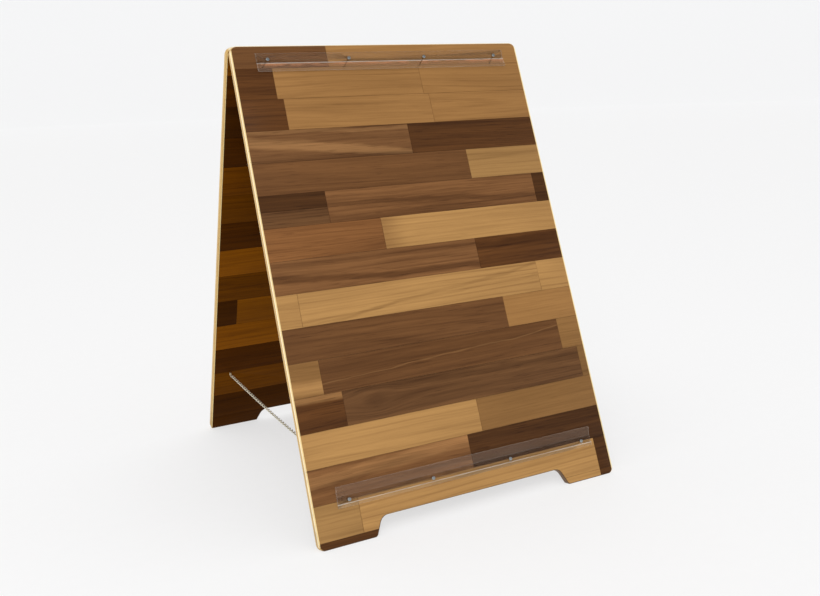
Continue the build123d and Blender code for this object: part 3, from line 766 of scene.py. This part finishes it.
def stave_look(side, face, stave, rng):
    """A stave's colour and figure, as the wood reads them from its attributes.

    On a face without looks of its own, the shade and one band are drawn at random. The last
    number of half_size is the place of the stave's centre, measured from the board's middle.
    """
    timber = stave["node"].split("_")[2]
    table = TIMBERS if face == "outer" else SHADED_INSIDE_TIMBERS
    colour, fibre, streaks, rings, pores = table[timber]
    chosen = LOOKS.get((side, face))
    bands = [NO_BAND, NO_BAND]
    if chosen is None:
        look = {}
        shade = rng.uniform(0.9, 1.1)
        if rng.random() < 0.4:
            middle = rng.uniform(-0.8, 0.8)
            slope = rng.uniform(-0.5, 0.5)
            pale = face == "outer" and rng.random() < 0.4
            strength = rng.uniform(0.2, 0.5) if pale else rng.uniform(-0.6, -0.2)
            bands[0] = (middle, middle + slope, rng.uniform(0.15, 0.4), strength)
    else:
        look = chosen.get((stave["row"], stave["place"]), {})
        shade = SHADES[look.get("shade", "plain")]
        bands = look.get("bands", bands)
    width, height = (stave[key][1] - stave[key][0] for key in ("u", "v"))
    knot = look.get("knot", NO_KNOT)
    end = look.get("end", NO_END)
    return {
        "tint": linear([c * shade for c in colour]),
        "figure": (fibre, streaks, look.get("rings", rings), pores),
        "band_a": (*bands[0][:3], 1.0 + bands[0][3]),
        "band_b": (*bands[1][:3], 1.0 + bands[1][3]),
        "knot": ((knot[0] - 0.5) * width, knot[1] * height / 2, knot[2]),
        "end_shade": (end[0], end[1], -end[2]),
        "seed": tuple(rng.uniform(2.0, 40.0) for _ in range(3)),
        "pith": (rng.uniform(-0.035, 0.035), rng.uniform(0.004, 0.03), rng.uniform(-0.05, 0.05)),
        "half_size": (width / 2, height / 2, sum(stave["u"]) / 2 - BOARD_W / 2),
    }


def nearest_stave(staves, us, vs):
    """The stave whose centre is nearest to that of a group of points."""
    u_mid = (min(us) + max(us)) / 2
    v_mid = (min(vs) + max(vs)) / 2
    return min(staves, key=lambda s: abs(sum(s["u"]) / 2 - u_mid) + abs(sum(s["v"]) / 2 - v_mid))


def build_staves(side, face, rng):
    """Replace every stave node of a face with eased staves that carry their own looks."""
    staves = face_staves(side, face)
    for stave in staves:
        stave["look"] = stave_look(side, face, stave, rng)
    material = WOOD if face == "outer" else INSIDE_WOOD
    for node in sorted({s["node"] for s in staves}):
        mine = [s for s in staves if s["node"] == node]
        bm = eased_copy(node, STAVE_EASE)
        bm.verts.index_update()
        names = [*mine[0]["look"], "local", "place"]
        values = {name: [None] * len(bm.verts) for name in names}
        for group in islands(bm):
            points = on_board(side, group)
            us, vs = on_face(face, points)
            stave = nearest_stave(mine, us, vs)
            left, right = stave["u"]
            top, bottom = stave["v"]
            for vert, point, u, v in zip(group, points, us, vs):
                along = (u - left) / (right - left)
                across = 1 - 2 * (v - top) / (bottom - top)
                own = {"place": (along, across, 0.0),
                       "local": (u - (left + right) / 2, (top + bottom) / 2 - v, point.y)}
                for name, value in {**stave["look"], **own}.items():
                    values[name][vert.index] = value
        new_piece(node.replace("staves", "facing"), bm, material, node, values)


# ---- cores -----------------------------------------------------------------------------------
def build_core(side):
    """Plywood core with eased edges, its plies counted through the thickness."""
    node = side + "_core"
    bm = eased_copy(node, CORE_EASE, 3)
    local = [(p.x, -p.z - PIVOT_RISE, p.y) for p in on_board(side, bm.verts)]
    new_piece(side + "_ply_core", bm, PLYWOOD, node, {"local": local})


# ---- rails -----------------------------------------------------------------------------------
def build_rail(side, where):
    """Clear rail with eased edges that knows its length, its depth from the edge and its place."""
    node = f"{side}_{where}_poster_rail"
    bm = eased_copy(node, RAIL_EASE, 2, 20.0)
    points = on_board(side, bm.verts)
    middle = (min(p.x for p in points) + max(p.x for p in points)) / 2
    if where == "top":
        edge = max(p.z for p in points)
        local = [(p.x - middle, edge - p.z, 0.0) for p in points]
    else:
        edge = min(p.z for p in points)
        local = [(p.x - middle, p.z - edge, 1.0) for p in points]
    new_piece(f"{side}_{where}_clear_rail", bm, ACRYLIC, node, {"local": local})


# ---- hinges ----------------------------------------------------------------------------------
def build_leaf(node):
    """Hinge leaf with its sharp edges eased."""
    bm = eased_copy(node, LEAF_EASE, 2, 40.0)
    new_piece(node.replace("leaf", "plate"), bm, BRASS, node)


# ---- chains ----------------------------------------------------------------------------------
LINK_WIRE = 0.0018
LINK_WIDTH = 0.0068          # over the wires
LINK_LENGTH = 0.0159         # over the wires
LINK_TWIST = math.radians(130)
LINK_ROLL = math.radians(-48)    # turn of every link about the chain
END_STEPS = 8                # straight steps round each end of a link
WIRE_SIDES = 8


def link_path():
    """Points round a flat oval link, along and across it, at the middle of its wire."""
    radius = (LINK_WIDTH - LINK_WIRE) / 2
    straight = LINK_LENGTH - LINK_WIDTH
    path = []
    for i in range(END_STEPS + 1):
        angle = math.pi * i / END_STEPS - math.pi / 2
        path.append((straight / 2 + radius * math.cos(angle), radius * math.sin(angle)))
    return path + [(-x, -y) for x, y in path]


def twisted_link(bm, centre, forward, side_way):
    """Oval link whose far end is turned against its near end, as in a twisted-link chain.

    Returns, for each vertex, how far it faces into the link (1 inside, 0 outside) and how far
    it is from the link's middle (1 at either end).
    """
    half = (LINK_LENGTH - LINK_WIRE) / 2
    up = forward.cross(side_way).normalized()
    path = link_path()
    points = []
    for x, y in path:
        turn = LINK_TWIST * x / (2 * half)
        across = side_way * math.cos(turn) + up * math.sin(turn)
        points.append(centre + forward * x + across * y)
    rings = []
    # Per vertex: where the chain's material puts dirt and painted shade.
    dirt_and_shade_mask = []
    count = len(path)
    for i, point in enumerate(points):
        along = (points[(i + 1) % count] - points[i - 1]).normalized()
        outward = (point - centre).normalized()
        across = along.cross(outward).normalized()
        outward = across.cross(along).normalized()
        ring = []
        for j in range(WIRE_SIDES):
            turn = 2 * math.pi * j / WIRE_SIDES
            spoke = outward * math.cos(turn) + across * math.sin(turn)
            ring.append(bm.verts.new(point + spoke * LINK_WIRE / 2))
            dirt_and_shade_mask.append((0.5 - 0.5 * math.cos(turn), abs(path[i][0]) / half, 0.0))
        rings.append(ring)
    for i in range(count):
        near, far = rings[i], rings[(i + 1) % count]
        for j in range(WIRE_SIDES):
            k = (j + 1) % WIRE_SIDES
            bm.faces.new((near[j], near[k], far[k], far[j]))
    return dirt_and_shade_mask


def link_centres(node):
    """Centres of a chain node's links, from one end of the run to the other."""
    bm = welded_copy(node)
    centres = []
    for group in islands(bm):
        lows = [min(v.co[k] for v in group) for k in range(3)]
        highs = [max(v.co[k] for v in group) for k in range(3)]
        centres.append((Vector(lows) + Vector(highs)) / 2)
    bm.free()
    return sorted(centres, key=lambda c: c.y)


def build_chain(node):
    """Twisted links in the places of the CAD node's plain ones."""
    centres = link_centres(node)
    tilt = Vector((math.cos(LINK_ROLL), 0, math.sin(LINK_ROLL)))
    bm = bmesh.new()
    dirt_and_shade_mask = []
    for i, centre in enumerate(centres):
        before = centres[max(i - 1, 0)]
        after = centres[min(i + 1, len(centres) - 1)]
        forward = (after - before).normalized()
        side_way = (tilt - forward * tilt.dot(forward)).normalized()
        dirt_and_shade_mask += twisted_link(bm, centre, forward, side_way)
    bmesh.ops.recalc_face_normals(bm, faces=bm.faces)
    new_piece(node.replace("_run", "_links"), bm, CHAIN_ZINC, node, {"dirt_and_shade_mask": dirt_and_shade_mask})


# ---- screws, eyes and pins -------------------------------------------------------------------
def dress_metal():
    """Plating on the screws, eyes and pins, which keep their CAD shapes."""
    for name, node in NODES.items():
        finish = {"zinc_steel": ZINC, "brass_plate": BRASS}.get(material_slot(name))
        if name.endswith("eyes"):
            finish = EYE_ZINC
        if finish and not node.hide_render:
            node.data.materials.clear()
            node.data.materials.append(finish)


# ---- stage, light and camera -----------------------------------------------------------------
FLOOR_RADIUS = 27.0
FLOOR_BEND = 3.0             # radius of the bend between the floor and the backdrop
BACKDROP_HEIGHT = 9.0
FLOOR_SIDES = 96
FLOOR_RINGS = 6
BEND_STEPS = 12
PAPER_LOW, PAPER_HIGH = (159, 160, 162), (162, 163, 165)
WORLD_COLOUR = (1.0, 0.985, 0.965, 1)
WORLD_STRENGTH = 0.85
WORLD_IN_GLOSS = 0.35        # the world's strength in reflections
KEY_AT = (-2.2, -3.4, 3.2)
KEY_TARGET = (0, 0, 0.4)
KEY_SIZE = (2.4, 2.4)
KEY_POWER = 60.0             # watts
KEY_COLOUR = (1.0, 0.97, 0.93)


def paper():
    """Matt pale paper with a faint speck, lit a little by itself."""
    g = Graph("pale_paper")
    point = g.add("ShaderNodeTexCoord").outputs["Object"]
    speck = g.noise(point, (40.0, 40.0, 40.0), 3.0, 0.5)
    colour = g.mix(speck, linear(PAPER_LOW), linear(PAPER_HIGH))
    return g.surface(Base_Color=colour, Roughness=0.9, Specular_IOR_Level=0.1,
                     Emission_Color=(1, 1, 1, 1), Emission_Strength=0.6)


def stage_profile():
    """Radius and height of the stage's rings: flat floor, bend, and upright backdrop."""
    profile = [(FLOOR_RADIUS * i / FLOOR_RINGS, 0.0) for i in range(1, FLOOR_RINGS + 1)]
    for i in range(1, BEND_STEPS + 1):
        turn = math.pi / 2 * i / BEND_STEPS
        radius = FLOOR_RADIUS + FLOOR_BEND * math.sin(turn)
        profile.append((radius, FLOOR_BEND - FLOOR_BEND * math.cos(turn)))
    return profile + [(FLOOR_RADIUS + FLOOR_BEND, BACKDROP_HEIGHT)]


def build_stage():
    """Pale round floor that rises into a distant backdrop."""
    bm = bmesh.new()
    turns = [2 * math.pi * k / FLOOR_SIDES for k in range(FLOOR_SIDES)]
    rows = []
    for radius, height in stage_profile():
        ring = [(radius * math.cos(t), radius * math.sin(t), height) for t in turns]
        rows.append([bm.verts.new(point) for point in ring])
    bm.faces.new(rows[0])
    for inner, outer in zip(rows, rows[1:]):
        for k in range(FLOOR_SIDES):
            after = (k + 1) % FLOOR_SIDES
            bm.faces.new((inner[k], outer[k], outer[after], inner[after]))
    mesh = bpy.data.meshes.new("floor")
    bm.to_mesh(mesh)
    bm.free()
    mesh.materials.append(paper())
    mesh.shade_smooth()
    floor = bpy.data.objects.new("floor", mesh)
    bpy.context.scene.collection.objects.link(floor)


def build_world():
    """Even warm-white light from all round, weaker in reflections."""
    world = bpy.data.worlds.new("studio")
    world.use_nodes = True
    tree = world.node_tree
    background = tree.nodes["Background"]
    background.inputs["Color"].default_value = WORLD_COLOUR
    path = tree.nodes.new("ShaderNodeLightPath")
    dim = tree.nodes.new("ShaderNodeMapRange")
    dim.inputs["To Min"].default_value = WORLD_STRENGTH
    dim.inputs["To Max"].default_value = WORLD_IN_GLOSS
    tree.links.new(path.outputs["Is Glossy Ray"], dim.inputs["Value"])
    tree.links.new(dim.outputs[0], background.inputs["Strength"])
    bpy.context.scene.world = world


def area_light(name, position, target, size, power, colour):
    """Rectangular light of so many watts at position, turned towards target."""
    data = bpy.data.lights.new(name, "AREA")
    data.shape = "RECTANGLE"
    data.size, data.size_y = size
    data.energy = power
    data.color = colour
    light = bpy.data.objects.new(name, data)
    light.location = position
    towards = Vector(target) - Vector(position)
    light.rotation_euler = towards.to_track_quat("-Z", "Y").to_euler()
    bpy.context.scene.collection.objects.link(light)


CAMERA_LENS = 40.4           # mm
CAMERA_SENSOR = 36.0         # mm
CAMERA_AT = (-0.794, -1.656, 0.744)
CAMERA_TURN = (80.2, 2.0, -27.2)     # degrees about X, Y and Z
CAMERA_SHIFT = (0.004, -0.062)


def build_camera():
    """Camera at standing height beside the board's left edge, looking a little down at it."""
    data = bpy.data.cameras.new("camera")
    data.lens = CAMERA_LENS
    data.sensor_width = CAMERA_SENSOR
    data.shift_x, data.shift_y = CAMERA_SHIFT
    data.clip_start, data.clip_end = 0.05, 60.0
    camera = bpy.data.objects.new("camera", data)
    camera.location = CAMERA_AT
    camera.rotation_euler = [math.radians(angle) for angle in CAMERA_TURN]
    bpy.context.scene.collection.objects.link(camera)
    bpy.context.scene.camera = camera


# ---- everything ------------------------------------------------------------------------------
build_camera()
build_stage()
build_world()
area_light("key", KEY_AT, KEY_TARGET, KEY_SIZE, KEY_POWER, KEY_COLOUR)
RNG = random.Random(SEED)
for board in SIDES:
    build_core(board)
    for surface in ("outer", "inner"):
        build_staves(board, surface, RNG)
    for where in ("top", "bottom"):
        build_rail(board, where)
for hand in ("left", "right"):
    for board in SIDES:
        build_chain(f"{hand}_chain_{board}_run")
        build_leaf(f"{hand}_hinge_{board}_leaf")
dress_metal()
bpy.context.scene.view_settings.view_transform = "Standard"
